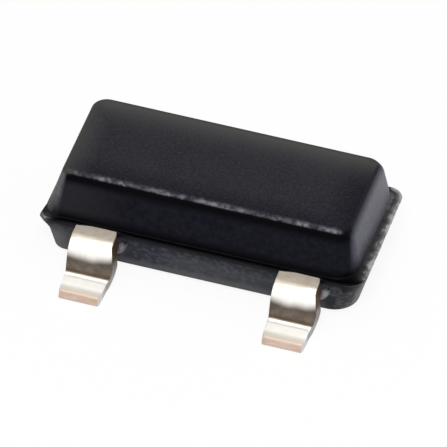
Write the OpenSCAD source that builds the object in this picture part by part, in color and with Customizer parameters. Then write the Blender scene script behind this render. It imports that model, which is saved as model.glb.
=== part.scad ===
// Three-lead moulded voltage reference for surface mounting.
// Length runs along X, the lead pair faces -Y, the single lead faces +Y, +Z is up.
// The origin is under the middle of the part, on the plane that the feet stand on.

/* [Moulded body] */
// Length of the upper half at the parting plane
body_length = 2.91; // [2.8:0.01:3.04]
// Width of the upper half at the parting plane
body_width = 1.32; // [1.28:0.01:1.4]
// Height of the upper half above the parting plane
upper_height = 0.44; // [0.4:0.01:0.55]
// Height of the lower half below the parting plane
lower_height = 0.43; // [0.36:0.01:0.46]
// Gap between the underside of the body and the feet's plane
standoff = 0.03; // [0.01:0.005:0.1]
// Draft of the upper half's side walls, in degrees
upper_draft = 15; // [5:1:16]
// Draft of the lower half's side walls, in degrees
lower_draft = 12.5; // [5:0.5:16]
// Corner radius of the upper half at the parting plane
upper_corner = 0.19; // [0.16:0.01:0.24]
// Corner radius of the lower half at the parting plane
lower_corner = 0.26; // [0.17:0.01:0.3]
// Rounding along the top and bottom edges
edge_radius = 0.035; // [0.01:0.005:0.05]
// How far the lower half stands out past the upper half at each end, on average
end_ledge = 0.04; // [0.038:0.001:0.08]
// Mismatch of the two mould halves, the lower one towards +X
mould_shift = 0.035; // [0:0.001:0.035]
// How far the lower half stands out past the upper half along each side
side_ledge = 0.05; // [0.02:0.01:0.08]

/* [Leads] */
// Spacing of the three lead centres along the body
lead_pitch = 0.95; // [0.9:0.01:1]
// Thickness of the lead frame
lead_thickness = 0.1; // [0.08:0.005:0.13]
// Depth of the lead frame's top face under the parting plane
lead_cover = 0.015; // [0.005:0.005:0.03]
// Width of a lead where it leaves the body
lead_width = 0.38; // [0.3:0.01:0.46]
// Tie bar left over on the -X side of a leg
left_stub = 0.01; // [0.004:0.001:0.03]
// Tie bar left over on the +X side of a leg, at its top
right_stub = 0.075; // [0.04:0.001:0.09]
// Tie bar left over on the +X side of a leg, at its foot
heel_stub = 0.032; // [0.01:0.001:0.04]
// Width of the foot at its toe
toe_width = 0.355; // [0.28:0.005:0.42]
// Distance across the part from toe to toe
toe_span = 2.44; // [2.34:0.01:2.6]
// Distance across the part between the outer faces of the legs
leg_span = 1.92; // [1.86:0.01:2]
// Inner radius of the bend at the shoulder
shoulder_radius = 0.06; // [0.04:0.005:0.08]
// Inner radius of the bend above the foot
heel_radius = 0.04; // [0.02:0.005:0.06]
// Outward lean of the legs, in degrees
leg_lean = 3; // [0:1:6]

/* [Lead frame inside the body] */
// Length of the die paddle along the body
paddle_length = 1; // [0.9:0.01:1.1]
// Width of the die paddle across the body
paddle_width = 0.76; // [0.7:0.01:0.8]
// Length of a bonding post along the body
post_length = 0.52; // [0.46:0.01:0.56]
// How far a bonding post reaches in from the side wall of the upper half
post_reach = 0.46; // [0.4:0.01:0.5]
// Resin between the side walls and the wide parts of the lead frame
resin_wall = 0.13; // [0.1:0.01:0.16]
// Length of the neck between the paddle and that resin
neck_length = 0.12; // [0.08:0.01:0.16]
// Diameter of the holes that lock the lead frame into the moulding
lock_hole = 0.14; // [0.08:0.01:0.18]
// Corner radius of the paddle and the posts
frame_corner = 0.05; // [0.02:0.01:0.08]

/* [Chip and bonding] */
// Length of the silicon die
die_length = 0.62; // [0.5:0.01:0.7]
// Width of the silicon die
die_width = 0.48; // [0.4:0.01:0.52]
// Thickness of the silicon die
die_thickness = 0.13; // [0.1:0.01:0.16]
// Distance from the paddle's front edge to the die
die_setback = 0.06; // [0.04:0.01:0.1]
// Thickness of the adhesive under the die
attach_thickness = 0.02; // [0.01:0.005:0.03]
// Width of the adhesive that shows around the die
attach_margin = 0.02; // [0.01:0.005:0.03]
// Diameter of the bond wires
wire_diameter = 0.025; // [0.018:0.001:0.033]
// Diameter of the ball bonds on the die
ball_diameter = 0.07; // [0.05:0.005:0.09]
// Height of a ball bond
ball_height = 0.018; // [0.01:0.002:0.024]
// Straight rise of a wire above its ball
wire_rise = 0.06; // [0.04:0.005:0.08]
// Radius of the loop at the top of a wire
loop_radius = 0.05; // [0.04:0.005:0.06]
// Thickness of a flattened stitch at the far end of a wire
stitch_height = 0.01; // [0.006:0.001:0.016]
// Distance of the stitches from the edges of the lead frame
stitch_inset = 0.09; // [0.07:0.005:0.11]
// Distance of the bond pads from the edges of the die
pad_inset = 0.08; // [0.06:0.005:0.1]

/* [Moulding flash] */
// Thickness of the flash at the parting plane
flash_thickness = 0.02; // [0.01:0.002:0.03]
// Corner radius of the flash, which fills the rounder corners of the lower half
flash_corner = 0.15; // [0.1:0.01:0.16]
// How far the flash is drawn out to a spur past the -X end
spur_reach = 0.026; // [0.01:0.001:0.04]
// Length of the spur's root along the -X end
spur_root = 0.24; // [0.15:0.01:0.3]
// Rounding of the spur's tip
spur_tip = 0.03; // [0.02:0.005:0.06]

/* [Resin left beside the leads] */
// Length of a resin nub along the body
nub_length = 0.11; // [0.06:0.01:0.12]
// Height of a resin nub
nub_height = 0.2; // [0.14:0.01:0.24]
// Height of the flat outer face of a resin nub
nub_face = 0.08; // [0.04:0.01:0.12]
// Distance from the leads' top face down to a resin nub
nub_drop = 0.04; // [0.02:0.01:0.08]
// How far a resin nub stands out from the lower half
nub_reach = 0.045; // [0.03:0.005:0.06]

/* [Hidden] */

$fn = 64;
ARC_STEPS = 5;
CUT = 0.5;

parting_z = standoff + lower_height;
lead_top = parting_z - lead_cover;
lead_bottom = lead_top - lead_thickness;
lower_length = body_length + 2 * end_ledge;
lower_width = body_width + 2 * side_ledge;

// Side view of a lead: the two bend centres and the straight leg between them
leg_turn = 90 - leg_lean;
shoulder_outer = shoulder_radius + lead_thickness;
heel_outer = heel_radius + lead_thickness;
leg_length = (lead_bottom - (shoulder_radius + heel_outer) * (1 - cos(leg_turn))) / sin(leg_turn);
shoulder_y = leg_span / 2 - shoulder_outer;
shoulder_z = lead_bottom - shoulder_radius;
heel_y = shoulder_y + (shoulder_outer + heel_radius) * sin(leg_turn) + leg_length * cos(leg_turn);
toe_y = toe_span / 2;
leg_left = lead_width / 2 + left_stub;
leg_right = lead_width / 2 + right_stub;
heel_right = lead_width / 2 + heel_stub;
foot_start_y = heel_y - heel_radius / 2;
frame_reach = max(paddle_length, post_length) / 2;

// Places inside the body
wall_inside = body_width / 2 - resin_wall;
post_inner_y = body_width / 2 - post_reach;
paddle_back = wall_inside - neck_length;
paddle_front = paddle_back - paddle_width;
die_bottom = lead_top + attach_thickness;
die_top = die_bottom + die_thickness;
die_front = paddle_front + die_setback;
die_back = die_front + die_width;
pad_x = die_length / 2 - pad_inset;
pad_front = die_front + pad_inset;
pad_back = die_back - pad_inset;
post_stitch_x = lead_pitch - post_length / 2 + stitch_inset;
post_stitch_y = -(post_inner_y + stitch_inset);
ground_y = paddle_back - stitch_inset;

// Points along an arc about a centre, from one angle to another
function arc(centre, radius, from, to) =
    [for (i = [0 : ARC_STEPS]) let (a = from + (to - from) * i / ARC_STEPS)
        [centre[0] + radius * cos(a), centre[1] + radius * sin(a)]];

// Corners of a rectangle between two corner points, with rounded corners
function rounded_box(low, high, radius) = concat(
    arc([high[0] - radius, high[1] - radius], radius, 0, 90),
    arc([low[0] + radius, high[1] - radius], radius, 90, 180),
    arc([low[0] + radius, low[1] + radius], radius, 180, 270),
    arc([high[0] - radius, low[1] + radius], radius, 270, 360));

// Outer edge of a drafted wall seen end on, from its foot to its rounded top
function wall_line(reach, height, draft) =
    let (top_reach = reach - height * tan(draft),
         setback = edge_radius * tan((90 - draft) / 2))
    concat([[reach, 0]],
           arc([top_reach - setback, height - edge_radius], edge_radius, draft, 90));

// The same points seen from the other side, in the opposite order
function mirrored(points) = [for (i = [len(points) - 1 : -1 : 0]) [-points[i][0], points[i][1]]];

// A bar along Y with a drafted wall on both long sides
module drafted_bar(width, height, length, draft) {
    line = wall_line(width / 2, height, draft);
    rotate([90, 0, 0])
        translate([0, 0, -length / 2])
            linear_extrude(length)
                polygon(concat(line, mirrored(line)));
}

// One half of the moulding: drafted walls, conical corners and a rounded top edge
module drafted_half(length, width, height, corner, draft) {
    drafted_bar(length, height, width - 2 * corner, draft);
    rotate([0, 0, 90])
        drafted_bar(width, height, length - 2 * corner, draft);
    for (x = [0, 1], y = [0, 1])
        mirror([x, 0, 0])
            mirror([0, y, 0])
                translate([length / 2 - corner, width / 2 - corner, 0])
                    rotate_extrude(angle = 90)
                        polygon(concat([[0, 0]], wall_line(corner, height, draft), [[0, height]]));
}

// Resin that was squeezed out beside a lead, against the drafted wall of the lower half
module resin_nub() {
    nub_top = lead_top - nub_drop;
    nub_foot = nub_top - nub_height;
    wall_top = lower_width / 2 - (parting_z - nub_top) * tan(lower_draft);
    wall_foot = wall_top - nub_height * tan(lower_draft);
    slope = (nub_height - nub_face) / 2;
    rotate([90, 0, 90])
        linear_extrude(nub_length)
            polygon([[wall_top - nub_reach, nub_top], [wall_top, nub_top],
                     [wall_top + nub_reach, nub_top - slope], [wall_top + nub_reach, nub_foot + slope],
                     [wall_foot, nub_foot], [wall_foot - nub_reach, nub_foot]]);
}

// Thin flash round the parting plane, drawn out to a spur at the front corner of the -X end
module flash() {
    end = lower_length / 2;
    side = lower_width / 2;
    centre = [end - flash_corner, side - flash_corner];
    translate([mould_shift, 0, parting_z - flash_thickness])
        linear_extrude(flash_thickness)
            polygon(concat(arc(centre, flash_corner, 0, 90),
                           arc([-centre[0], centre[1]], flash_corner, 90, 180),
                           [[-end, spur_root - side]],
                           arc([spur_tip - spur_reach - end, spur_tip - side], spur_tip, 180, 270),
                           arc([centre[0], -centre[1]], flash_corner, 270, 360)));
}

module moulded_body() {
    color("#2a2b30")
        difference() {
            union() {
                translate([0, 0, parting_z])
                    drafted_half(body_length, body_width, upper_height, upper_corner, upper_draft);
                translate([mould_shift, 0, parting_z])
                    mirror([0, 0, 1])
                        drafted_half(lower_length, lower_width, lower_height, lower_corner, lower_draft);
                flash();
                for (x = [-lead_pitch, lead_pitch])
                    translate([x + lead_width / 2, 0, 0])
                        mirror([0, 1, 0])
                            resin_nub();
            }
            lead_1();
            lead_2();
            lead_3();
            die_attach();
            die();
            bond_wire_1();
            bond_wire_2();
            bond_wire_3();
        }
}

// A sector of a strip bent across its thickness, about the Z axis
module bend(inner, from, angle, width) {
    rotate([0, 0, from])
        rotate_extrude(angle = angle)
            translate([inner, -width / 2])
                square([lead_thickness, width]);
}

// The bent strip of a lead, outwards along Y, from its inner end to its toe
module bent_strip(inner_y, width) {
    rotate([90, 0, 90]) {
        translate([inner_y, lead_bottom, -width / 2])
            cube([shoulder_y - inner_y, lead_thickness, width]);
        translate([shoulder_y, shoulder_z, 0]) {
            bend(shoulder_radius, leg_lean, leg_turn, width);
            rotate([0, 0, leg_lean])
                translate([shoulder_radius, -leg_length, -width / 2])
                    cube([lead_thickness, leg_length, width]);
        }
        translate([heel_y, heel_outer, 0])
            bend(heel_radius, 180 + leg_lean, leg_turn, width);
        translate([heel_y, 0, -width / 2])
            cube([toe_y - heel_y, lead_thickness, width]);
    }
}

// Plan of the lead outside the moulding: tie bar stubs on the leg, a tapered foot
module lead_plan() {
    translate([-lead_width / 2, wall_inside])
        square([lead_width, shoulder_y - wall_inside]);
    polygon([[-leg_left, shoulder_y], [leg_right, shoulder_y], [leg_right, foot_start_y],
             [heel_right, foot_start_y], [toe_width / 2, toe_y], [-toe_width / 2, toe_y],
             [-leg_left, foot_start_y]]);
}

// Front view of the lead, as wide as the frame inside the body down to the shoulder, then tapered
module lead_front() {
    polygon([[frame_reach, lead_top], [frame_reach, shoulder_z], [leg_right, shoulder_z],
             [heel_right, heel_outer], [heel_right, 0], [-leg_left, 0], [-leg_left, shoulder_z],
             [-frame_reach, shoulder_z], [-frame_reach, lead_top]]);
}

// Cuts a bent strip to the lead's front view and to the plan that its children draw
module cut_lead(inner_y, width) {
    intersection() {
        bent_strip(inner_y, width);
        linear_extrude(lead_top)
            children();
        translate([0, toe_y, 0])
            rotate([90, 0, 0])
                linear_extrude(toe_span)
                    lead_front();
    }
}

// A lead of the pair with its bonding post, placed to one side of the middle
module paired_lead(side) {
    color("#d8d3c8")
        translate([side * lead_pitch, 0, 0])
            mirror([0, 1, 0])
                cut_lead(post_inner_y, post_length)
                    difference() {
                        union() {
                            lead_plan();
                            polygon(rounded_box([-post_length / 2, post_inner_y],
                                                [post_length / 2, wall_inside], frame_corner));
                        }
                        translate([side * (post_length / 2 - lock_hole), (post_inner_y + wall_inside) / 2])
                            circle(d = lock_hole);
                    }
}

module lead_1() {
    paired_lead(-1);
}

module lead_2() {
    paired_lead(1);
}

// Single lead, in one piece with the paddle that carries the die
module lead_3() {
    color("#d8d3c8")
        cut_lead(paddle_front, paddle_length)
            difference() {
                union() {
                    lead_plan();
                    translate([-lead_width / 2, paddle_back])
                        square([lead_width, wall_inside - paddle_back]);
                    polygon(rounded_box([-paddle_length / 2, paddle_front],
                                        [paddle_length / 2, paddle_back], frame_corner));
                }
                for (x = [-1, 1])
                    translate([x * (paddle_length / 2 - lock_hole), paddle_back - lock_hole])
                        circle(d = lock_hole);
            }
}

module die_attach() {
    color("#b9b7ae")
        translate([-die_length / 2 - attach_margin, die_front - attach_margin, lead_top])
            cube([die_length + 2 * attach_margin, die_width + 2 * attach_margin, attach_thickness]);
}

module die() {
    color("#5d6470")
        translate([-die_length / 2, die_front, die_bottom])
            cube([die_length, die_width, die_thickness]);
}

// A stretch of the loop at the top of a wire, about the Z axis
module wire_arc(from, angle) {
    rotate([0, 0, from])
        rotate_extrude(angle = angle)
            translate([loop_radius, 0])
                circle(d = wire_diameter);
}

// A wire from a ball on the die to a flattened stitch on the lead frame
module bond_wire(start, end) {
    span = norm(end - start);
    heading = atan2(end[1] - start[1], end[0] - start[0]);
    loop_z = die_top + ball_height + wire_rise;
    stitch_z = lead_top + stitch_height / 2;
    fall = loop_z - stitch_z;
    slope = atan2(fall, span - loop_radius) + asin(loop_radius / norm([span - loop_radius, fall]));
    run = (fall + loop_radius * cos(slope)) / sin(slope);
    color("#e3b64a")
        translate([start[0], start[1], 0])
            rotate([0, 0, heading])
                difference() {
                    union() {
                        translate([0, 0, die_top])
                            cylinder(d = ball_diameter, h = ball_height);
                        translate([0, 0, die_top + ball_height])
                            cylinder(d = wire_diameter, h = wire_rise);
                        translate([loop_radius, 0, loop_z])
                            rotate([90, 0, 0]) {
                                wire_arc(90, 90);
                                wire_arc(90 - slope, slope);
                                rotate([0, 0, 90 - slope])
                                    translate([loop_radius, 0, 0])
                                        rotate([90, 0, 0])
                                            cylinder(d = wire_diameter, h = run);
                            }
                        translate([span, 0, lead_top])
                            cylinder(d = 2 * wire_diameter, h = stitch_height);
                    }
                    translate([span, 0, lead_top - CUT / 2])
                        cube([CUT, CUT, CUT], center = true);
                }
}

module bond_wire_2() {
    bond_wire([pad_x, pad_front], [post_stitch_x, post_stitch_y]);
}

module bond_wire_1() {
    mirror([1, 0, 0])
        bond_wire_2();
}

module bond_wire_3() {
    bond_wire([0, pad_back], [0, ground_y]);
}

moulded_body();
lead_1();
lead_2();
lead_3();
die_attach();
die();
bond_wire_1();
bond_wire_2();
bond_wire_3();
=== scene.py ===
"""The looks of a three-lead moulded voltage reference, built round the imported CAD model.

Shapes are worked out in millimetres and written to the meshes in metres. The body is a stack of
rounded outlines from its top face to its underside, and each lead is a bent strip.
"""

import math

import bpy
from mathutils import Matrix, Vector, noise


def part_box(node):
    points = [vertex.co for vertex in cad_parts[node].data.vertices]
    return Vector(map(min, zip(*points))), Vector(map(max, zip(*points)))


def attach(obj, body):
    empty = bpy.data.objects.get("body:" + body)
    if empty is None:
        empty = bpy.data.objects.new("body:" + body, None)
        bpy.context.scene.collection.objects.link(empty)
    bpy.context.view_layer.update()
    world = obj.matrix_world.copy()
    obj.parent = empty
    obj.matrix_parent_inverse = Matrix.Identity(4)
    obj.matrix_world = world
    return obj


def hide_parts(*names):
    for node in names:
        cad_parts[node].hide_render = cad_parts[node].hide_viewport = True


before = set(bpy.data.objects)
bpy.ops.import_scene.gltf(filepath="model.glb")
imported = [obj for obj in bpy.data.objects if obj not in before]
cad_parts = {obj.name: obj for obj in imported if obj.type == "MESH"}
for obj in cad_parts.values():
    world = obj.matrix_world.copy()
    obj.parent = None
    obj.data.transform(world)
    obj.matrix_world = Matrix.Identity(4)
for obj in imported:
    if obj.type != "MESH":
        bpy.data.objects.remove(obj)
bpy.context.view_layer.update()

MM = 0.001
LOW, HIGH = 0, 1
X, Y, Z = 0, 1, 2


def cad_side(node, corner, axis):
    """Where a CAD node ends along an axis, in millimetres, to the nearest thousandth."""
    return round(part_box(node)[corner][axis] / MM, 3)


# Camera, fitted to the photograph: angles in degrees, lengths in millimetres or in its pixels
VIEW_AZIMUTH = 14.23
VIEW_ELEVATION = 41.08
VIEW_ROLL = 3.32
VIEW_DISTANCE = 90.0
AIM_RIGHT = 0.0502
AIM_UP = 0.1522
FOCAL_PIXELS = 10023.0
FRAME_PIXELS = 447.0
SENSOR = 36.0

# Leads: the height of their upper face, the toes' reach and how far the front pair stands from X = 0
LEAD_TOP = cad_side("lead_1", HIGH, Z)
TOE = -cad_side("lead_1", LOW, Y)
PITCH = -(cad_side("lead_1", LOW, X) + cad_side("lead_1", HIGH, X)) / 2.0
# The lead at +X stands this far inside its nominal place
LEAD_2_SHIFT = 0.013
LEAD_2_X = PITCH - LEAD_2_SHIFT
# Thickness, half the nominal width, and how uneven the surface is
THICK = 0.10
LEAD_HALF = 0.19
LEAD_WAVE = 0.0012
# Where a lead's mesh starts, inside the resin, and the outer face of its leg
LEAD_START = 0.56
LEG_FACE = 0.96
# The stretch before the shoulder on which the tie bar stub begins
APPROACH = 0.10
# Inner radii of the two bends, and the leg's lean in degrees
SHOULDER_RADIUS = 0.06
HEEL_RADIUS = 0.04
LEAN = 3.0
# How far the -X side slopes out, how round the long edges are, and how far the cut end is drawn in
LEFT_SLOPE = 0.006
EDGE_ROLL = 0.010
TOE_INSET = 0.006
# Along a lead, with -1 to 0 the approach, then the shoulder to 1, the leg to 2, the heel to 3 and the
# foot to 4: its reach to -X and to +X, and how far the sheared +X side slopes out from the upper face
WIDTHS = (
    (-1.0, 0.190, 0.198, 0.008),
    (-0.7, 0.190, 0.232, 0.030),
    (0.0, 0.190, 0.237, 0.034),
    (0.35, 0.190, 0.242, 0.036),
    (0.65, 0.191, 0.251, 0.027),
    (1.0, 0.192, 0.257, 0.021),
    (1.37, 0.194, 0.263, 0.019),
    (1.7, 0.195, 0.256, 0.020),
    (2.0, 0.196, 0.248, 0.022),
    (2.57, 0.196, 0.224, 0.014),
    (3.0, 0.195, 0.207, 0.004),
    (3.5, 0.190, 0.205, 0.002),
    (4.0, 0.180, 0.198, 0.0),
)
# Steps of a bend, and across a lead: its wide faces, its sides and its rounded edges
BEND_STEPS = 22
FACE_STEPS = 14
SIDE_STEPS = 5
EDGE_STEPS = 4
# Up to what height the leg's tarnish and painted shade and the stain are full, and how far out the
# shoulder's painted shade reaches
TARNISH_AND_SHADE_TOP = 0.246
STAIN_TOP = 0.130
SHOULDER_END = 0.838

FRONT, BACK = -1.0, 1.0
# Each lead's CAD node, its middle and its side: the front pair points to -Y, the third to +Y
LEADS = (("lead_1", -PITCH, FRONT), ("lead_2", LEAD_2_X, FRONT), ("lead_3", 0.0, BACK))

# Moulding
TOP = cad_side("moulded_body", HIGH, Z)
BOTTOM = cad_side("moulded_body", LOW, Z)
# The parting plane lies this far above the leads
LEAD_COVER = 0.015
PARTING = LEAD_TOP + LEAD_COVER
UPPER_DRAFT = 15.0
LOWER_DRAFT = 12.5
# How far the flash is drawn out to -X and to -Y at the front corner of the -X end, and how far it hangs
HORN_REACH = 0.025
HORN_FORWARD = 0.004
HORN_DROP = 0.022
# How far round the corner the horn and its pale tip reach
HORN_ROOT = 0.26
HORN_TIP = 0.13
# The lower half stays just inside the CAD box, whose -X end is the horn's
LOWER_LEFT = cad_side("moulded_body", LOW, X) + HORN_REACH + 0.001
LOWER_X = (LOWER_LEFT, cad_side("moulded_body", HIGH, X) - 0.0005)
LOWER_Y = cad_side("moulded_body", HIGH, Y)
UPPER_X = (-1.45, 1.432)
UPPER_Y = LOWER_Y - 0.05
# Corner radii in the order front left, front right, back right, back left
UPPER_FOOT_CORNERS = (0.15, 0.22, 0.12, 0.20)
UPPER_TOP_CORNERS = (0.06, 0.12, 0.09, 0.14)
LOWER_TOP_CORNERS = (0.06, 0.18, 0.13, 0.16)
LOWER_FOOT_CORNERS = (0.11, 0.23, 0.25, 0.20)
TOP_ROLL = 0.035
# The top edge of the +X end is rounder than the others
RIGHT_ROLL = 0.12
BOTTOM_ROLL = 0.04
# Thickness of the flash, how deep its edge is notched and how uneven the ledge is
FLASH = 0.018
FLASH_NOTCH = 0.008
LEDGE_LUMP = 0.003
# How far back a ring on the ledge may lie along the narrow long sides
LEDGE_SIDE = 0.024
# How much of the walls' set-back the +X end has: steeper above the parting plane, flatter below it
RIGHT_SHARE = 0.645
LOWER_RIGHT_SHARE = 1.15
# The ledge above a front lead: where it would end if all of it were missing, how much is missing, and
# where that starts and ends across the lead
CUT_LINE = UPPER_Y + 0.008
LEDGE_CUT = 0.65
CUT_START = (-0.21, -0.02)
CUT_END = (0.18, 0.23)
# Where the worn front edge, with its painted highlight, starts and ends along X
WORN_GLINT_START = (-1.32, -1.18)
WORN_GLINT_END = (1.27, 1.33)

# Mesh density of an outline
CORNER_STEPS = 14
LONG_STEPS = 150
SHORT_STEPS = 68

# Resin nubs beside the front leads: half their size, how far they stand out and their middle
NUB_HALF_WIDTH = 0.048
NUB_HALF_HEIGHT = 0.088
NUB_REACH = 0.045
NUB_MIDDLE = 0.266
NUB_SLANT = 0.35
# How deep a nub is rooted in the wall and in the lead's side, and how uneven it is
NUB_ROOT = 0.02
NUB_OVERLAP = 0.004
NUB_LUMP = 0.005
# Each nub's name, the middle of its lead and how bright its resin is
NUBS = (("resin_nub_1", -PITCH, 0.60), ("resin_nub_2", LEAD_2_X, 1.0))

STAGE_RADIUS = 110.0


def smooth_step(value, low, high):
    """0 below low, 1 above high, and a smooth rise between them."""
    t = min(1.0, max(0.0, (value - low) / (high - low)))
    return t * t * (3.0 - 2.0 * t)


def smooth_fall(value, low, high):
    """1 below low, 0 above high, and a smooth fall between them."""
    return 1.0 - smooth_step(value, low, high)


def window(value, rise, fall):
    """1 between a smooth rise and a smooth fall, each a pair of limits, and 0 outside them."""
    return smooth_step(value, *rise) * smooth_fall(value, *fall)


def mix(a, b, t):
    return a + (b - a) * t


def mix_all(a, b, t):
    return tuple(mix(p, q, t) for p, q in zip(a, b))


def around(centre, radius, degrees):
    """The point of a circle at an angle."""
    a = math.radians(degrees)
    return centre[0] + radius * math.cos(a), centre[1] + radius * math.sin(a)


# Node materials


class Look:
    """One material's node tree, with short ways to add nodes and join them."""

    def __init__(self, name):
        self.material = bpy.data.materials.new(name)
        self.material.use_nodes = True
        self.tree = self.material.node_tree
        self.tree.nodes.clear()
        self.coordinates = self.add("ShaderNodeTexCoord").outputs["Object"]

    def add(self, kind, inputs=None, **settings):
        node = self.tree.nodes.new(kind)
        for key, value in settings.items():
            setattr(node, key, value)
        for key, value in (inputs or {}).items():
            self.put(node.inputs[key], value)
        return node

    def put(self, socket, value):
        if isinstance(value, bpy.types.NodeSocket):
            self.tree.links.new(value, socket)
        else:
            socket.default_value = value

    def noise(self, scale, detail, roughness=0.55, stretch=None):
        """Noise with features about 1/scale metres across, from 0 to 1."""
        where = self.coordinates
        if stretch:
            where = self.add("ShaderNodeMapping", {"Vector": where, "Scale": stretch}).outputs[0]
        inputs = {"Vector": where, "Scale": scale, "Detail": detail, "Roughness": roughness}
        return self.add("ShaderNodeTexNoise", inputs).outputs["Fac"]

    def cells(self, scale):
        inputs = {"Vector": self.coordinates, "Scale": scale}
        return self.add("ShaderNodeTexVoronoi", inputs).outputs["Distance"]

    def steps(self, value, low, high, to_low=0.0, to_high=1.0):
        """value stretched from low..high to to_low..to_high and held there."""
        inputs = {"Value": value, "From Min": low, "From Max": high, "To Min": to_low, "To Max": to_high}
        return self.add("ShaderNodeMapRange", inputs).outputs["Result"]

    def span(self, place, low, high, to_low=0.0, to_high=1.0):
        """The same for a place on the part, with low and high in millimetres."""
        return self.steps(place, low * MM, high * MM, to_low, to_high)

    def maths(self, kind, first, second):
        return self.add("ShaderNodeMath", {0: first, 1: second}, operation=kind).outputs[0]

    def times(self, first, second):
        return self.maths("MULTIPLY", first, second)

    def plus(self, first, second):
        return self.maths("ADD", first, second)

    def either(self, first, second):
        return self.maths("MAXIMUM", first, second)

    def blend(self, factor, first, second):
        node = self.add("ShaderNodeMix", data_type="RGBA")
        self.put(node.inputs["Factor"], factor)
        self.put(node.inputs["A"], first if not isinstance(first, tuple) else (*first, 1.0))
        self.put(node.inputs["B"], second if not isinstance(second, tuple) else (*second, 1.0))
        return node.outputs["Result"]

    def mottle(self, pattern, first, second, low=0.3, high=0.7):
        """Two tones that change over with a pattern between low and high."""
        return self.blend(self.steps(pattern, low, high), first, second)

    def facing(self, axis):
        """The surface normal's part along an axis, in the row's frame."""
        normal = self.add("ShaderNodeNewGeometry").outputs["Normal"]
        return self.add("ShaderNodeSeparateXYZ", {"Vector": normal}).outputs[axis]

    def place(self):
        """The three coordinates of a point of the part."""
        return self.add("ShaderNodeSeparateXYZ", {"Vector": self.coordinates}).outputs

    def height(self):
        return self.place()["Z"]

    def attribute(self, name):
        return self.add("ShaderNodeAttribute", attribute_name=name).outputs["Fac"]

    def bump(self, height, microns, below=None):
        """Relief of a height in microns, on top of the relief below it."""
        inputs = {"Height": height, "Distance": microns * 1e-6}
        if below is not None:
            inputs["Normal"] = below
        return self.add("ShaderNodeBump", inputs).outputs["Normal"]

    def finish(self, **sockets):
        inputs = {name.replace("_", " "): value for name, value in sockets.items()}
        surface = self.add("ShaderNodeBsdfPrincipled", inputs)
        output = self.add("ShaderNodeOutputMaterial")
        self.tree.links.new(surface.outputs[0], output.inputs["Surface"])
        return self.material


def resin_look():
    """Black mould compound: darker walls, a grained top face with painted sheen and shade, a front edge
    with wear and a painted highlight, and speckled flash.
    """
    look = Look("mould_compound")
    grain = look.noise(48000.0, 2.0)
    blotch = look.noise(21000.0, 1.5, 0.5)
    along, across, height = look.place()
    face = look.attribute("face")
    toward_x = look.facing("X")

    top = resin_top(look, grain, along, across)
    walls = resin_walls(look, blotch, along, across, height, toward_x)
    end_walls, shaded = resin_ends(look, blotch, across, height, toward_x)
    low_tone = resin_low(look, blotch, along, height, toward_x)

    # The +X end's tone sets in later round its front corner
    delay = look.span(across, -0.41, -0.53, 0.0, 0.11)
    right_end = look.steps(look.maths("SUBTRACT", toward_x, delay), 0.60, 0.965)
    left_end = look.steps(toward_x, -0.06, -0.48, 0.0, 0.93)
    ends = look.either(right_end, left_end)
    tone = look.blend(ends, walls, end_walls)
    tone = look.blend(look.attribute("lower"), tone, low_tone)
    tone = look.blend(face, tone, top)
    tone = resin_edges(look, tone)
    tone = resin_flash(look, tone, across)
    nub = look.mottle(blotch, (0.270, 0.269, 0.288), (0.350, 0.347, 0.366))
    tone = look.blend(look.attribute("nub"), tone, nub)

    rough = look.steps(grain, 0.2, 0.8, 0.30, 0.42)
    rough = look.plus(rough, look.times(face, 0.16))
    rough = look.plus(rough, look.times(look.times(shaded, ends), 0.40))
    relief = look.bump(grain, 1.2)
    relief = look.bump(blotch, 1.4, below=relief)
    return look.finish(Base_Color=tone, Roughness=rough, Normal=relief, IOR=1.12)


def resin_top(look, grain, along, across):
    """The top face: a fine grain, paler towards the back and -X edges with a painted sheen, darker towards
    the other two with painted shade.
    """
    dark = (0.0045, 0.0045, 0.0085)
    cloud = look.noise(2600.0, 3.0)
    tone = look.mottle(cloud, (0.0135, 0.0136, 0.0196), (0.0172, 0.0172, 0.0224), 0.35, 0.65)
    # Painted shade: darker towards the front and +X edges
    front = look.span(across, -0.28, -0.47, 0.0, 0.6)
    right = look.span(along, 1.0, 1.34)
    darker = look.either(front, right)
    tone = look.blend(darker, tone, dark)
    tone = look.blend(look.steps(grain, 0.40, 0.75, 0.0, 0.8), tone, (0.0350, 0.0350, 0.0410))
    tone = look.blend(look.times(darker, 0.65), tone, dark)
    # Painted sheen: paler towards the back and -X edges
    back = look.maths("POWER", look.span(across, -0.05, 0.54), 3.0)
    left = look.span(along, -1.08, -1.27, 0.0, 0.36)
    return look.blend(look.either(back, left), tone, (0.076, 0.076, 0.073))


def resin_walls(look, blotch, along, across, height, toward_x):
    """The long walls of the upper half, darker with painted shade right under the top edge and at the
    ledge.
    """
    tone = look.mottle(blotch, (0.0042, 0.0044, 0.0088), (0.0090, 0.0092, 0.0136))
    tone = look.blend(look.span(along, -0.70, -1.20, 0.0, 0.8), tone, (0.0185, 0.0185, 0.0220))
    # Painted shade: darker right under the top edge and at the foot by the ledge
    under_edge = look.span(height, TOP - 0.135, TOP - 0.070)
    at_foot = look.span(height, PARTING + 0.015, PARTING + 0.090, 1.0, 0.0)
    tone = look.blend(look.either(under_edge, at_foot), tone, (0.0005, 0.0005, 0.0016))
    behind_corner = look.times(look.steps(toward_x, 0.10, 0.35), look.span(across, -0.50, -0.38))
    return look.blend(behind_corner, tone, (0.0135, 0.0135, 0.0185))


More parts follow.
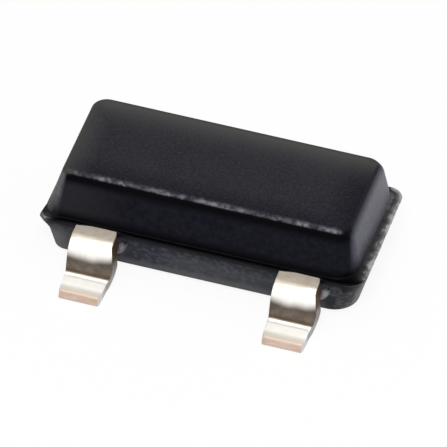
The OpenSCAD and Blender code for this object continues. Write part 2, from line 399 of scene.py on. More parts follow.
def resin_ends(look, blotch, across, height, toward_x):
    """The end walls of the upper half, shaded at their foot, and how far they are shaded.

    The +X end is bluish, and the -X end is plain grey and shaded less.
    """
    tone = look.mottle(blotch, (0.100, 0.099, 0.128), (0.136, 0.134, 0.162))
    neutral = look.mottle(blotch, (0.110, 0.107, 0.110), (0.148, 0.144, 0.147))
    tone = look.blend(look.steps(toward_x, -0.15, -0.50), tone, neutral)
    farther = look.span(across, -0.5, 0.5)
    near_tone = look.blend(0.18, tone, (0.060, 0.060, 0.078))
    far_tone = look.blend(0.35, tone, (0.215, 0.214, 0.225))
    tone = look.blend(farther, near_tone, far_tone)
    wavering = look.plus(height, look.times(blotch, 0.05 * MM))
    wavering = look.plus(wavering, look.times(farther, 0.11 * MM))
    shaded = look.span(wavering, PARTING + 0.045, PARTING + 0.215, 1.0, 0.0)
    shaded = look.times(shaded, look.steps(toward_x, -0.85, -0.45, 0.3, 1.0))
    shade = look.blend(farther, (0.0160, 0.0170, 0.0175), (0.066, 0.068, 0.068))
    return look.blend(shaded, tone, shade), shaded


def resin_low(look, blotch, along, height, toward_x):
    """The lower half: blue-grey mottles, paler low down with painted light from the floor, darker with
    painted shade just under the ledge, round its front +X corner and beside a nub, and paler round the
    ends.
    """
    # Painted floor light and shade: paler low down, darker up under the ledge
    tone = look.blend(look.span(height, 0.28, 0.37), (0.048, 0.049, 0.056), (0.0190, 0.0192, 0.0240))
    bluish = look.times(look.span(along, -0.15, -0.45), look.span(along, -0.85, -0.65))
    tone = look.blend(look.times(bluish, 0.75), tone, (0.0165, 0.0170, 0.0330))
    below_shade = look.span(height, 0.36, 0.43, 1.0, 0.0)
    mottled = look.times(look.steps(blotch, 0.42, 0.72, 0.0, 0.55), below_shade)
    tone = look.blend(mottled, tone, (0.086, 0.092, 0.112))
    # Painted floor light: paler still at the very bottom
    tone = look.blend(look.span(height, 0.15, 0.10, 0.0, 0.6), tone, (0.108, 0.109, 0.110))

    # Painted shadow beside and below the nub at +X
    beside_nub = look.times(look.span(along, 1.15, 1.20), look.span(along, 1.31, 1.26))
    beside_nub = look.times(beside_nub, look.span(height, 0.27, 0.23, 0.0, 0.75))
    tone = look.blend(beside_nub, tone, (0.0130, 0.0130, 0.0160))
    left_end = look.times(look.span(along, -1.16, -1.30), look.span(height, 0.40, 0.22))
    tone = look.blend(left_end, tone, (0.124, 0.125, 0.128))

    # Painted shade round the front +X corner, where the shadow under the ledge also reaches lower
    corner = look.times(look.steps(toward_x, 0.05, 0.30), look.steps(toward_x, 0.72, 0.90, 1.0, 0.0))
    tone = look.blend(look.times(corner, 0.45), tone, (0.0060, 0.0060, 0.0080))
    specks = look.steps(blotch, 0.45, 0.65, 0.0, 0.45)
    speckled = look.times(look.steps(toward_x, 0.10, 0.30), specks)
    tone = look.blend(speckled, tone, (0.125, 0.124, 0.132))
    tone = look.blend(look.steps(toward_x, 0.72, 0.97), tone, (0.230, 0.231, 0.231))
    raised = look.plus(height, look.times(corner, 0.09 * MM))
    shadow = look.span(raised, PARTING - 0.075, PARTING - 0.030)
    shadow = look.times(shadow, look.steps(toward_x, 0.60, 0.92, 1.0, 0.0))
    return look.blend(shadow, tone, (0.0008, 0.0008, 0.0014))


def resin_edges(look, tone):
    """The top face's edges: greyer at the back and -X, bright and broken along the front with wear and a
    painted highlight.
    """
    tone = look.blend(look.attribute("edge"), tone, (0.047, 0.048, 0.044))
    broken = look.steps(look.noise(23000.0, 3.0), 0.38, 0.60, 0.20, 1.0)
    # Wear and a painted highlight along the front edge, broken up
    return look.blend(look.times(broken, look.attribute("worn")), tone, (0.165, 0.160, 0.182))


def resin_flash(look, tone, across):
    """The flash round the ledge, crumbly and pale, with brighter specks towards the front."""
    rim = look.attribute("rim")
    crumb = look.noise(15000.0, 1.5)
    crumbly = look.mottle(crumb, (0.175, 0.177, 0.177), (0.34, 0.342, 0.34), 0.36, 0.56)
    tone = look.blend(rim, tone, crumbly)
    sparks = look.times(look.steps(crumb, 0.52, 0.66), look.steps(rim, 0.12, 0.5))
    sparks = look.times(sparks, look.span(across, 0.42, 0.22, 0.15, 1.0))
    return look.blend(sparks, tone, (0.35, 0.352, 0.35))


def tin_look():
    """Matte tin-plated finish, tarnished and painted with shade and dark reflection down the leg, painted
    with shade on the shoulder, stained at the heel and whiter on the foot.
    """
    look = Look("tinned_lead")
    grain = look.noise(46000.0, 3.0)
    drag = look.noise(9000.0, 4.0, 0.6, stretch=(3.2, 0.5, 0.5))
    patch = look.noise(16000.0, 3.0)
    tone = look.mottle(drag, (0.95, 0.93, 0.885), (0.88, 0.85, 0.795))
    # Painted shade on the shoulder, where the body keeps off the light from above
    shoulder = look.times(look.attribute("shoulder"), look.steps(patch, 0.3, 0.7, 0.70, 1.0))
    tone = look.blend(shoulder, tone, (0.625, 0.540, 0.430))

    foot = look.attribute("foot")
    on_foot = look.steps(foot, 0.0, 0.03)
    white = look.mottle(patch, (1.0, 0.99, 0.945), (0.94, 0.93, 0.88), 0.35, 0.65)
    tone = look.blend(on_foot, tone, white)
    tone = look.blend(look.steps(foot, 0.50, 0.82, 0.0, 0.95), tone, (0.655, 0.605, 0.530))
    tone = look.blend(look.steps(foot, 0.88, 0.99), tone, (0.590, 0.480, 0.390))

    # Painted shade and dark reflection down the leg and round the heel, partly tarnish: darker at the top
    # of the leg, paler low down
    tarnish_and_shade = look.attribute("tarnish_and_shade")
    lower_leg = look.span(look.height(), 0.30, 0.17)
    dusky = look.blend(lower_leg, (0.090, 0.068, 0.052), (0.180, 0.142, 0.108))
    dusky = look.blend(look.steps(patch, 0.35, 0.65, 0.0, 0.55), dusky, (0.060, 0.046, 0.038))
    tone = look.blend(tarnish_and_shade, tone, dusky)
    stain = look.times(look.attribute("stain"), look.steps(patch, 0.2, 0.6, 0.6, 1.0))
    tone = look.blend(stain, tone, (0.080, 0.047, 0.018))

    rough = look.steps(grain, 0.2, 0.8, 0.36, 0.48)
    rough = look.plus(rough, look.times(tarnish_and_shade, 0.10))
    rough = look.plus(rough, look.times(stain, 0.35))
    dull = look.either(stain, look.times(on_foot, 0.8))
    metal = look.maths("SUBTRACT", 0.50, look.times(dull, 0.48))
    relief = look.bump(grain, 1.0)
    relief = look.bump(patch, 1.6, below=relief)
    return look.finish(Base_Color=tone, Metallic=metal, Roughness=rough, Normal=relief)


def sheared_look():
    """The sides of a lead, where the stamping sheared it: dark brown by the bend, as bare metal with
    painted shade, grey to pale below.
    """
    look = Look("sheared_side")
    drag = look.noise(24000.0, 4.0, 0.6, stretch=(1.0, 1.0, 0.25))
    patch = look.noise(7000.0, 2.0)
    brown = look.mottle(drag, (0.040, 0.021, 0.010), (0.085, 0.050, 0.027), 0.35)
    grey = look.mottle(drag, (0.165, 0.157, 0.143), (0.255, 0.245, 0.228), 0.35)
    pale = look.mottle(drag, (0.58, 0.57, 0.555), (0.76, 0.75, 0.735), 0.35)
    tone = look.blend(look.steps(look.attribute("foot"), 0.0, 0.70, 0.32, 1.0), grey, pale)
    wavering = look.plus(look.height(), look.times(patch, 0.08 * MM))
    tone = look.blend(look.span(wavering, 0.12, 0.19), tone, grey)
    # Dark brown by the bend: the bare metal's colour with painted shade
    tone = look.blend(look.span(wavering, 0.29, 0.35), tone, brown)
    rough = look.steps(patch, 0.2, 0.8, 0.40, 0.60)
    return look.finish(Base_Color=tone, Metallic=0.4, Roughness=rough, Normal=look.bump(drag, 3.0))


def copper_look():
    """The cut end of a toe: bare copper alloy, greyed in patches, paler low down, a trace of tin on top."""
    look = Look("cut_copper")
    height = look.height()
    drag = look.noise(30000.0, 4.0, 0.6, stretch=(1.0, 1.0, 0.2))
    patch = look.noise(9000.0, 3.0)
    tone = look.mottle(drag, (0.66, 0.455, 0.335), (0.555, 0.380, 0.280))
    tone = look.blend(look.steps(patch, 0.42, 0.72, 0.0, 0.7), tone, (0.64, 0.520, 0.470))
    low_down = look.span(height, 0.062, 0.012, 0.0, 0.8)
    tone = look.blend(low_down, tone, (0.86, 0.680, 0.580))
    wavering = look.plus(height, look.times(look.noise(14000.0, 2.0), 0.020 * MM))
    tone = look.blend(look.span(wavering, 0.098, 0.114), tone, (0.62, 0.52, 0.43))
    return look.finish(Base_Color=tone, Metallic=0.4, Roughness=0.45, Normal=look.bump(drag, 3.0))


def silicon_look():
    look = Look("silicon")
    cell = look.cells(22000.0)
    tone = look.mottle(cell, (0.16, 0.18, 0.22), (0.24, 0.24, 0.27), 0.1, 0.6)
    return look.finish(Base_Color=tone, Metallic=0.5, Roughness=look.steps(cell, 0.0, 1.0, 0.12, 0.25))


def adhesive_look():
    look = Look("silver_adhesive")
    flake = look.noise(60000.0, 4.0)
    tone = look.mottle(flake, (0.62, 0.60, 0.56), (0.40, 0.39, 0.37))
    return look.finish(Base_Color=tone, Metallic=0.6, Roughness=0.5, Normal=look.bump(flake, 2.0))


def gold_look():
    look = Look("gold_wire")
    drawn = look.noise(80000.0, 2.0)
    tone = look.mottle(drawn, (0.94, 0.70, 0.28), (0.86, 0.62, 0.22))
    return look.finish(Base_Color=tone, Metallic=1.0, Roughness=look.steps(drawn, 0.0, 1.0, 0.18, 0.32))


# Meshes


class Shell:
    """Points, faces and per-point values of one piece, gathered before its mesh is made."""

    def __init__(self):
        self.points = []
        self.faces = []
        self.slots = []
        self.values = {}

    def ring(self, points, **values):
        """Adds the points of one ring, with values as one number or a list, and gives their indices."""
        indices = range(len(self.points), len(self.points) + len(points))
        self.points.extend(points)
        for name, value in values.items():
            row = value if isinstance(value, list) else [value] * len(points)
            self.values.setdefault(name, {}).update(zip(indices, row))
        return list(indices)

    def bridge(self, upper, lower, slots=None):
        """Quads between two rings of as many points."""
        count = len(upper)
        for i in range(count):
            j = (i + 1) % count
            self.faces.append((upper[i], lower[i], lower[j], upper[j]))
            self.slots.append(slots[i] if slots else 0)

    def cap(self, ring, slot=0, flip=False):
        self.faces.append(tuple(reversed(ring)) if flip else tuple(ring))
        self.slots.append(slot)

    def make(self, name, materials):
        mesh = bpy.data.meshes.new(name)
        mesh.from_pydata([tuple(c * MM for c in p) for p in self.points], [], self.faces)
        for material in materials:
            mesh.materials.append(material)
        mesh.polygons.foreach_set("material_index", self.slots)
        mesh.polygons.foreach_set("use_smooth", [True] * len(self.faces))
        for key, row in self.values.items():
            data = mesh.attributes.new(key, "FLOAT", "POINT").data
            data.foreach_set("value", [row.get(i, 0.0) for i in range(len(self.points))])
        mesh.validate()
        mesh.update()
        piece = bpy.data.objects.new(name, mesh)
        bpy.context.scene.collection.objects.link(piece)
        return piece


def rounded(corners, fills, corner_steps):
    """An outline of arcs, each (x, y, radius, start angle), joined by straights of fills steps each."""
    arcs = []
    for x, y, radius, start in corners:
        turns = [start + 90.0 * i / corner_steps for i in range(corner_steps + 1)]
        arcs.append([around((x, y), radius, turn) for turn in turns])
    points = []
    for index, fill in enumerate(fills):
        here, there = arcs[index][-1], arcs[(index + 1) % len(arcs)][0]
        points.extend(arcs[index])
        points.extend(mix_all(here, there, i / fill) for i in range(1, fill))
    return points


def outline(low_x, high_x, half_y, radii):
    """Points round a rectangle with its own radius at each corner, always as many, in one order."""
    front_left, front_right, back_right, back_left = radii
    corners = (
        (high_x - front_right, -half_y + front_right, front_right, -90.0),
        (high_x - back_right, half_y - back_right, back_right, 0.0),
        (low_x + back_left, half_y - back_left, back_left, 90.0),
        (low_x + front_left, -half_y + front_left, front_left, 180.0),
    )
    return rounded(corners, (SHORT_STEPS, LONG_STEPS, SHORT_STEPS, LONG_STEPS), CORNER_STEPS)


def at_height(points, z):
    return [(x, y, z) for x, y in points]


def smaller(radii, less, least):
    """Corner radii of an outline that is set in by less, none of them under least."""
    return tuple(max(least, radius - less) for radius in radii)


def upper_stations(slope):
    """Inset from the parting plane's outline and height, from the top face's rim to the foot."""
    top_inset = (TOP - PARTING) * slope
    setback = TOP_ROLL * math.tan(math.radians((90.0 - UPPER_DRAFT) / 2.0))
    stations = []
    roll_steps, wall_steps = 8, 24
    for i in range(roll_steps + 1):
        a = math.radians(mix(90.0, UPPER_DRAFT, i / roll_steps))
        z = TOP - TOP_ROLL + TOP_ROLL * math.sin(a)
        stations.append((top_inset + setback - TOP_ROLL * math.cos(a), z))
    roll_end = stations[-1][1]
    for i in range(1, wall_steps + 1):
        z = mix(roll_end, PARTING, i / wall_steps)
        stations.append(((z - PARTING) * slope, z))
    return stations


def wear_and_glint(x):
    """How much of the bright broken edge, wear with a painted highlight, shows at x along the front of the
    top face.
    """
    slow = noise.noise(Vector((x * 4.0, 3.1, 0.0)))
    quick = noise.noise(Vector((x * 13.0, 7.7, 0.0)))
    wave = smooth_step(slow * 0.6 + quick * 0.6, -0.35, 0.25)
    return window(x, WORN_GLINT_START, WORN_GLINT_END) * (0.35 + 0.65 * wave)


def edge_tone(x, y, inset):
    """How near a point of an outline is to the paler back and -X edges."""
    back = smooth_step(y, UPPER_Y - inset - 0.12, UPPER_Y - inset)
    left = smooth_step(-x, -UPPER_X[0] - inset - 0.10, -UPPER_X[0] - inset)
    return max(back, left)


def right_side(z):
    """The +X limit of the upper half at a height, on a steeper wall under a rounder edge."""
    draft = math.atan(math.tan(math.radians(UPPER_DRAFT)) * RIGHT_SHARE)
    wall = UPPER_X[1] - (z - PARTING) * math.tan(draft)
    if TOP - z >= RIGHT_ROLL * (1.0 - math.sin(draft)):
        return wall
    crown = UPPER_X[1] - (TOP - PARTING) * math.tan(draft)
    rise = 1.0 - (TOP - z) / RIGHT_ROLL
    setback = RIGHT_ROLL * math.tan((math.pi / 2.0 - draft) / 2.0)
    return crown - setback + RIGHT_ROLL * math.sqrt(1.0 - rise * rise)


def make_upper(shell):
    """Top face, rolled edge and drafted walls of the upper half. Gives its last ring."""
    low = UPPER_X[0]
    slope = math.tan(math.radians(UPPER_DRAFT))
    stations = upper_stations(slope)
    rim_inset = stations[0][0]
    rings = []
    # Two rings within the top face's rim
    for extra in (0.20, 0.03):
        side = rim_inset + extra
        radii = smaller(UPPER_TOP_CORNERS, extra, 0.012)
        points = outline(low + side, right_side(TOP) - extra, UPPER_Y - side, radii)
        rings.append(shell.ring(at_height(points, TOP), face=1.0))
    shell.cap(rings[0])
    for inset, z in stations:
        depth = TOP - z
        front = UPPER_Y - inset
        roll = max(0.0, inset - (z - PARTING) * slope)
        t = (z - PARTING) / (TOP - PARTING)
        radii = smaller(mix_all(UPPER_FOOT_CORNERS, UPPER_TOP_CORNERS, t), roll, 0.02)
        points = outline(low + inset, right_side(z), front, radii)
        # The front edge's wear and painted highlight, in a band just under the top face
        worn_band = window(depth, (-0.002, 0.002), (0.012, 0.027))
        worn = [worn_band * wear_and_glint(x) * smooth_fall(y + front, 0.004, 0.034) for x, y in points]
        edge_band = smooth_fall(depth, 0.02, 0.05)
        edge = [edge_band * edge_tone(x, y, inset) for x, y in points]
        face = smooth_fall(depth, 0.004, 0.02)
        rings.append(shell.ring(at_height(points, z), worn=worn, edge=edge, face=face))
    for above, below in zip(rings, rings[1:]):
        shell.bridge(above, below)
    return rings[-1]


def from_horn(x, y):
    """Distance from the lower half's front corner at -X, where the flash is drawn out to a horn."""
    return math.hypot(x - LOWER_X[0], y + LOWER_Y)


def horn(x, y):
    """How strongly the flash is drawn out at a point of the outline."""
    return smooth_fall(from_horn(x, y), 0.02, HORN_ROOT)


def rim_share(x, y):
    """How much of the pale flash shows: along the +X end, most behind its front corner, and at the horn."""
    behind_corner = smooth_fall(abs(y + 0.30), 0.03, 0.12)
    along = smooth_step(y, -0.64, -0.46) * (1.0 + 0.25 * behind_corner)
    tip = smooth_fall(from_horn(x, y), 0.01, HORN_TIP)
    return max(smooth_step(x, 1.36, 1.44) * along, 0.42 * tip)


def cut_ledge(x, y):
    """A y of the lower half's outline, moved in where the ledge is narrower above a front lead."""
    if y > -CUT_LINE:
        return y
    middle_x = -PITCH if x < 0.0 else LEAD_2_X
    return mix(y, -CUT_LINE, LEDGE_CUT * window(x - middle_x, CUT_START, CUT_END))


def ragged(x, y, z, size):
    """An uneven offset from about -size to size, coarse with a little fine."""
    where = Vector((x * 9.0, y * 9.0, z * 9.0 + 1.3))
    fine = Vector((x * 31.0, y * 31.0, z * 31.0))
    return size * (noise.noise(where) + 0.6 * noise.noise(fine))


def ledge_ring(shell, back, sink, share):
    """One outline on the ledge's upper face, set back from its edge, with a share of the flash's tone."""
    low, high = LOWER_X
    points = []
    rims = []
    for x, y in outline(low, high - back, LOWER_Y - min(back, LEDGE_SIDE), LOWER_TOP_CORNERS):
        y = cut_ledge(x, y)
        hang = 0.5 * HORN_DROP * horn(x, y)
        points.append((x, y, PARTING - sink - hang + ragged(x, y, 0.0, LEDGE_LUMP) - LEDGE_LUMP))
        rims.append((share + 0.35 * horn(x, y)) * rim_share(x, y))
    return shell.ring(points, rim=rims)


def lower_ring(shell, inset, z, spread=0.0, drop=0.0, rim=0.0, lower=1.0):
    """One outline of the lower half.

    Its horn is drawn out by spread and hangs by drop. rim is how much it belongs to the notched pale
    flash, and lower how much to the lower half's walls.
    """
    low, high = LOWER_X
    # The corners have their foot radii from two fifths of the way down
    t = min(1.0, 2.5 * (PARTING - z) / (PARTING - BOTTOM))
    radii = mix_all(LOWER_TOP_CORNERS, LOWER_FOOT_CORNERS, t)
    near_rim = smooth_fall(PARTING - z, 0.03, 0.09)
    points = []
    rims = []
    for x, y in outline(low + inset, high - inset * LOWER_RIGHT_SHARE, LOWER_Y - inset, radii):
        y = mix(y, cut_ledge(x, y), near_rim)
        pull = horn(x, y) * spread
        notch = max(0.0, ragged(x, y, z, FLASH_NOTCH * rim))
        cut_x = math.copysign(notch, x) if x > high - 0.1 or x < low + 0.1 else 0.0
        cut_y = math.copysign(0.5 * notch, y) if abs(x) < 1.3 else 0.0
        hang = drop * horn(x, y)
        points.append((x - cut_x - pull * HORN_REACH, y - cut_y - pull * HORN_FORWARD, z - hang))
        rims.append(rim * rim_share(x, y))
    return shell.ring(points, rim=rims, lower=lower)


def make_lower(shell, foot):
    """Ledge, flash, drafted walls, rolled edge and underside of the lower half."""
    slope = math.tan(math.radians(LOWER_DRAFT))
    # A shallow gutter round the foot of the upper walls, with a little of the flash's tone at the back
    gutter = outline(UPPER_X[0] - 0.001, UPPER_X[1] + 0.008, UPPER_Y + 0.006, UPPER_FOOT_CORNERS)
    gutter_rim = [rim_share(x, y) * (0.05 + 0.22 * smooth_step(y, 0.25, 0.50)) for x, y in gutter]
    rings = [foot, shell.ring(at_height(gutter, PARTING - 0.005), rim=gutter_rim)]
    # Across the ledge: set-back, depth and share of the flash's tone
    for back, sink, share in ((0.060, 0.003, 0.14), (0.034, 0.001, 0.42), (0.012, 0.0, 1.0)):
        rings.append(ledge_ring(shell, back, sink, share))

    # The edge of the flash: inset, depth, the horn's spread and drop, and the lower walls' share of tone
    edge = ((0.003, 0.004, 0.9, 0.8, 0.0), (0.0, 0.010, 1.0, 0.8, 0.2), (0.004, FLASH, 0.9, 1.0, 0.6))
    for inset, depth, spread, drop, lower in edge:
        rings.append(lower_ring(shell, inset, PARTING - depth, spread, drop * HORN_DROP, 1.0, lower))

    wall_end = BOTTOM + BOTTOM_ROLL * (1.0 - math.sin(math.radians(LOWER_DRAFT)))
    wall_steps, roll_steps = 14, 6
    for i in range(1, wall_steps + 1):
        z = mix(PARTING - FLASH, wall_end, i / wall_steps)
        fade = smooth_fall(PARTING - z, 0.0, 0.22)
        rings.append(lower_ring(shell, (PARTING - z) * slope, z, fade, HORN_DROP * fade))

    setback = BOTTOM_ROLL * math.tan(math.radians((90.0 - LOWER_DRAFT) / 2.0))
    rim_inset = (PARTING - BOTTOM) * slope + setback
    for i in range(1, roll_steps + 1):
        a = math.radians(mix(LOWER_DRAFT, 90.0, i / roll_steps))
        z = BOTTOM + BOTTOM_ROLL * (1.0 - math.sin(a))
        rings.append(lower_ring(shell, rim_inset - BOTTOM_ROLL * math.cos(a), z))
    for extra in (0.03, 0.12):
        rings.append(lower_ring(shell, rim_inset + extra, BOTTOM))
    for above, below in zip(rings, rings[1:]):
        shell.bridge(above, below)
    shell.cap(rings[-1], flip=True)


def make_body():
    shell = Shell()
    make_lower(shell, make_upper(shell))
    return shell.make("package_body", [resin_look()])


def lead_path():
    """A lead's middle line in side view, and how far out its heel's centre lies.

    Each place on it is its distance out, height, upward normal, length run and part reached.
    """
    middle = THICK / 2.0
    outer = SHOULDER_RADIUS + THICK
    heel_outer = HEEL_RADIUS + THICK
    turn = math.radians(90.0 - LEAN)
    under = LEAD_TOP - THICK
    fall = (SHOULDER_RADIUS + heel_outer) * (1.0 - math.cos(turn))
    leg = (under - fall) / math.sin(turn)
    shoulder = (LEG_FACE - outer, under - SHOULDER_RADIUS)
    heel = (shoulder[0] + (outer + HEEL_RADIUS) * math.sin(turn) + leg * math.cos(turn), heel_outer)
    path = []

    def place(y, z, angle, reached):
        run = path[-1][3] + math.hypot(y - path[-1][0], z - path[-1][1]) if path else 0.0
        path.append((y, z, math.radians(angle), run, reached))

    start_steps, leg_steps, foot_steps = 6, 16, 8
    for i in range(start_steps):
        y = mix(LEAD_START, shoulder[0], i / start_steps)
        place(y, LEAD_TOP - middle, 90.0, max(-1.0, (y - shoulder[0]) / APPROACH))
    for i in range(BEND_STEPS + 1):
        angle = mix(90.0, LEAN, i / BEND_STEPS)
        place(*around(shoulder, SHOULDER_RADIUS + middle, angle), angle, i / BEND_STEPS)
    leg_y, leg_z = around(shoulder, SHOULDER_RADIUS + middle, LEAN)
    lean = math.radians(LEAN)
    for i in range(1, leg_steps):
        down = leg * i / leg_steps
        place(leg_y + down * math.sin(lean), leg_z - down * math.cos(lean), LEAN, 1.0 + i / leg_steps)
    for i in range(BEND_STEPS + 1):
        angle = mix(180.0 + LEAN, 270.0, i / BEND_STEPS)
        place(*around(heel, HEEL_RADIUS + middle, angle), angle - 180.0, 2.0 + i / BEND_STEPS)
    for i in range(1, foot_steps + 1):
        place(mix(heel[0], TOE, i / foot_steps), middle, 90.0, 3.0 + i / foot_steps)
    return path, heel[0]


def lead_sides(reached):
    """How far the lead reaches to -X and +X of its middle line, and how far its +X side slopes out."""
    for (low, *below), (high, *above) in zip(WIDTHS, WIDTHS[1:]):
        if reached <= high:
            return mix_all(below, above, (reached - low) / (high - low))
    return WIDTHS[-1][1:]


def lead_section(left, right, slope, inset):
    """Across a lead: (sideways, up) points with rounded corners, and which edges are sheared."""
    half = THICK / 2.0 - inset
    left, right = left - inset, right - inset
    tips = ((right - slope, half), (LEFT_SLOPE - left, half), (-left, -half), (right, -half))
    corners = []
    for index, (x, up) in enumerate(tips):
        centre_x = x - math.copysign(EDGE_ROLL, x)
        centre_up = up - math.copysign(EDGE_ROLL, up)
        corners.append((centre_x, centre_up, EDGE_ROLL, 90.0 * index))
    fills = (FACE_STEPS, SIDE_STEPS, FACE_STEPS, SIDE_STEPS)
    sheared = []
    for index, fill in enumerate(fills):
        lower_edge = index in (2, 3)
        side_face = index in (1, 3)
        sheared.extend([lower_edge] * EDGE_STEPS + [side_face] * fill)
    return rounded(corners, fills, EDGE_STEPS), sheared


def make_lead(name, middle_x, side, looks):
    """One bent lead. side is FRONT for the front pair and BACK for the lead at the back."""
    shell = Shell()
    path, heel_y = lead_path()
    rings = []
    for y, z, angle, run, reached in path:
        inset = TOE_INSET if reached == WIDTHS[-1][0] else 0.0
        section, sheared = lead_section(*lead_sides(reached), inset)
        points = []
        values = {"tarnish_and_shade": [], "stain": [], "shoulder": [], "foot": []}
        for x, up in section:
            wobble = LEAD_WAVE * noise.noise(Vector((x * 11.0 + middle_x, run * 17.0, side)))
            # Nothing of the foot or heel reaches below the floor
            if z < 0.20 and up < 0.0:
                wobble = abs(wobble)
            out = y + (up + wobble) * math.cos(angle)
            high = z + (up + wobble) * math.sin(angle)
            points.append((middle_x + x, side * out, high))
            for key, value in plating_and_shade(x, out, high, math.degrees(angle), middle_x, heel_y).items():
                values[key].append(value)
        rings.append(shell.ring(points, **values))
    slots = [1 if cut else 0 for cut in sheared]
    for above, below in zip(rings, rings[1:]):
        if side == BACK:
            above, below = below, above
        shell.bridge(above, below, slots)
    shell.cap(rings[0], flip=side == BACK)
    shell.cap(rings[-1], slot=2, flip=side == FRONT)
    return shell.make(name, looks)


def plating_and_shade(x, out, high, facing, middle_x, heel_y):
    """The state of the tin at a point, with its painted shade: x across the lead, how far out and how high,
    and its tilt.
    """
    heel_top = HEEL_RADIUS + THICK
    across = x / LEAD_HALF
    streak = noise.noise(Vector((x * 9.0, middle_x, 4.2)))
    heel = smooth_fall(facing, 8.0, 58.0)
    # The leg's tarnish and painted shade: full round the heel, and on the leg up to a wavy height
    tarnish_and_shade = heel
    if out < heel_y - HEEL_RADIUS / 2.0 and high > heel_top:
        limit = TARNISH_AND_SHADE_TOP + 0.030 * across * across + 0.016 * streak
        tarnish_and_shade = smooth_fall(high, limit, limit + 0.105)
    # How far out the shoulder's painted shade reaches, a little wavy across the lead
    start = SHOULDER_END - 0.020 * across + 0.008 * streak
    on_foot = high < heel_top and out > heel_y - HEEL_RADIUS
    return {
        "tarnish_and_shade": tarnish_and_shade,
        "stain": heel * smooth_fall(high, STAIN_TOP, STAIN_TOP + 0.045),
        "shoulder": smooth_fall(out, start, start + 0.034),
        "foot": smooth_step(out, heel_y, TOE) if on_foot else 0.0,
    }


def make_nub(name, middle_x, brightness, resin):
    """Resin squeezed out beside a front lead, a small uneven lump on the lower wall.

    It is a stack of rings from its top to its foot, a little blunter than an ellipsoid.
    """
    shell = Shell()
    slope = math.tan(math.radians(LOWER_DRAFT))
    start = middle_x + LEAD_HALF - NUB_OVERLAP
    rings = []
    rows, across = 18, 24
    for i in range(rows + 1):
        # The first and last rings stop short of the poles, and flat caps close them
        turn = math.pi * (0.03 + 0.94 * i / rows)
        t = (1.0 - math.cos(turn)) / 2.0
        swell = math.sin(turn) ** 0.8
        z = NUB_MIDDLE + NUB_HALF_HEIGHT * math.cos(turn)
        wall = LOWER_Y - (PARTING - z) * slope
        reach = NUB_REACH * swell * (0.7 + 0.3 * t) + NUB_ROOT
        points = []
        for j in range(across):
            a = 2.0 * math.pi * j / across
            x = start + NUB_SLANT * (z - NUB_MIDDLE) + NUB_HALF_WIDTH * (1.0 + swell ** 0.6 * math.cos(a))
            out = wall - NUB_ROOT + reach * math.sin(a)
            lump = NUB_LUMP * noise.noise(Vector((x * 18.0, out * 18.0, z * 18.0)))
            points.append((x + lump, -(out + lump), z))
        rise = brightness * smooth_step(math.sin(turn), 0.2, 0.95)
        tint = [rise * smooth_step(-y, wall - 0.005, wall + 0.036) for _, y, _ in points]
        rings.append(shell.ring(points, lower=1.0, nub=tint))
    for above, below in zip(rings, rings[1:]):
        shell.bridge(below, above)
    shell.cap(rings[0], flip=True)
    shell.cap(rings[-1])
    return shell.make(name, [resin])


# Stage, lamps and camera


def make_stage():
    """A pale floor that keeps the object's shadow, nearly white to the camera and in reflections."""
    mesh = bpy.data.meshes.new("floor")
    steps = 96
    rim = [around((0.0, 0.0), STAGE_RADIUS * MM, 360.0 * i / steps) for i in range(steps)]
    mesh.from_pydata(at_height(rim, 0.0), [], [tuple(range(steps))])
    floor = bpy.data.objects.new("floor", mesh)
    bpy.context.scene.collection.objects.link(floor)
    look = Look("white_stage")
    paths = look.add("ShaderNodeLightPath").outputs
    seen = look.either(paths["Is Camera Ray"], paths["Is Glossy Ray"])
    seen = look.either(seen, paths["Is Transmission Ray"])
    matte = look.add("ShaderNodeBsdfDiffuse", {"Color": (0.88, 0.88, 0.88, 1.0)})
    glow = look.add("ShaderNodeEmission", {"Color": (1.0, 1.0, 1.0, 1.0), "Strength": 1.0})
    shown = {0: look.times(seen, 0.90), 1: matte.outputs[0], 2: glow.outputs[0]}
    join = look.add("ShaderNodeMixShader", shown)
    look.add("ShaderNodeOutputMaterial", {"Surface": join.outputs[0]})
    mesh.materials.append(look.material)


def make_world():
    """A dim soft sky for the object, which the camera and reflections see as plain white."""
    world = bpy.data.worlds.new("studio")
    bpy.context.scene.world = world
    world.use_nodes = True
    nodes, links = world.node_tree.nodes, world.node_tree.links
    nodes.clear()
    paths = nodes.new("ShaderNodeLightPath")
    mixer = nodes.new("ShaderNodeMixShader")
    soft = nodes.new("ShaderNodeBackground")
    soft.inputs["Color"].default_value = (0.95, 0.97, 1.0, 1.0)
    soft.inputs["Strength"].default_value = 0.36
    white = nodes.new("ShaderNodeBackground")
    white.inputs["Color"].default_value = (1.0, 1.0, 1.0, 1.0)
    white.inputs["Strength"].default_value = 1.0
    output = nodes.new("ShaderNodeOutputWorld")
    seen = nodes.new("ShaderNodeMath")
    seen.operation = "MAXIMUM"
    links.new(paths.outputs["Is Camera Ray"], seen.inputs[0])
    links.new(paths.outputs["Is Glossy Ray"], seen.inputs[1])
    links.new(seen.outputs[0], mixer.inputs[0])
    links.new(soft.outputs[0], mixer.inputs[1])
    links.new(white.outputs[0], mixer.inputs[2])
    links.new(mixer.outputs[0], output.inputs["Surface"])


def direction(azimuth, elevation):
    """The way from the part to a lamp or the camera, with both angles in degrees."""
    a, e = math.radians(azimuth), math.radians(elevation)
    return Vector((math.sin(a) * math.cos(e), -math.cos(a) * math.cos(e), math.sin(e)))


def make_lamp(name, azimuth, elevation, distance, size, radiance, colour):
    """A round soft lamp that faces the part. radiance is its brightness as the part sees it."""
    toward = direction(azimuth, elevation)
    data = bpy.data.lights.new(name, "AREA")
    data.shape = "DISK"
    data.size = size * MM
    area = math.pi * (size * MM / 2.0) ** 2
    data.energy = radiance * math.pi * area
    data.color = colour
    lamp = bpy.data.objects.new(name, data)
    lamp.location = toward * distance * MM
    lamp.rotation_mode = "QUATERNION"
    lamp.rotation_quaternion = toward.to_track_quat("Z", "Y")
    bpy.context.scene.collection.objects.link(lamp)


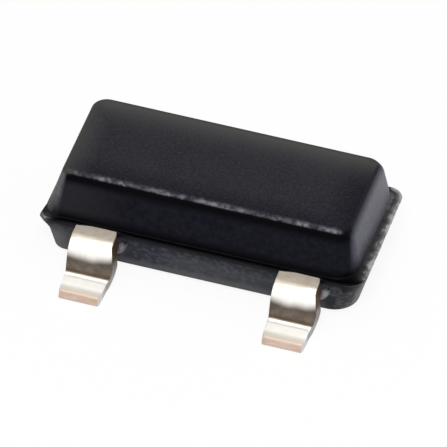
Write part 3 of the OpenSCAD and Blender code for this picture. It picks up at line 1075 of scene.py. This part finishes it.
def make_lamps():
    """Name, azimuth, elevation, distance, size, brightness and colour of each lamp."""
    make_lamp("overhead", 0.0, 84.0, 60.0, 60.0, 1.2, (1.0, 0.995, 0.985))
    make_lamp("front_high", 10.0, 56.0, 70.0, 24.0, 19.0, (1.0, 0.985, 0.96))
    make_lamp("right", 98.0, 22.0, 70.0, 34.0, 2.5, (0.95, 0.95, 1.0))


def make_camera():
    """The photograph's view: its angle, roll, distance and aim."""
    a, r = math.radians(VIEW_AZIMUTH), math.radians(VIEW_ROLL)
    toward = direction(VIEW_AZIMUTH, VIEW_ELEVATION)
    level = Vector((math.cos(a), math.sin(a), 0.0))
    up = toward.cross(level)
    right = level * math.cos(r) + up * math.sin(r)
    above = up * math.cos(r) - level * math.sin(r)
    data = bpy.data.cameras.new("camera")
    data.sensor_width = SENSOR
    data.lens = SENSOR * FOCAL_PIXELS / FRAME_PIXELS
    data.clip_start = 5.0 * MM
    data.clip_end = 2000.0 * MM
    camera = bpy.data.objects.new("camera", data)
    camera.location = (right * AIM_RIGHT + above * AIM_UP + toward * VIEW_DISTANCE) * MM
    camera.rotation_euler = Matrix((right, above, toward)).transposed().to_euler()
    bpy.context.scene.collection.objects.link(camera)
    bpy.context.scene.camera = camera


def finish_nodes():
    """The pieces sealed inside keep their CAD shapes and get their own finish."""
    looks = {"die": silicon_look(), "die_attach": adhesive_look()}
    gold = gold_look()
    for name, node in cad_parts.items():
        look = gold if name.startswith("bond_wire") else looks.get(name)
        if look:
            node.data.materials.clear()
            node.data.materials.append(look)


make_camera()
make_world()
make_lamps()
make_stage()

body = make_body()
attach(body, "root")
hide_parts("moulded_body")

for name, x, brightness in NUBS:
    nub = make_nub(name, x, brightness, body.data.materials[0])
    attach(nub, "root")

lead_looks = [tin_look(), sheared_look(), copper_look()]
for name, x, side in LEADS:
    lead = make_lead(name.replace("lead", "bent_lead"), x, side, lead_looks)
    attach(lead, "root")
    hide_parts(name)

finish_nodes()

bpy.context.scene.view_settings.view_transform = "Standard"
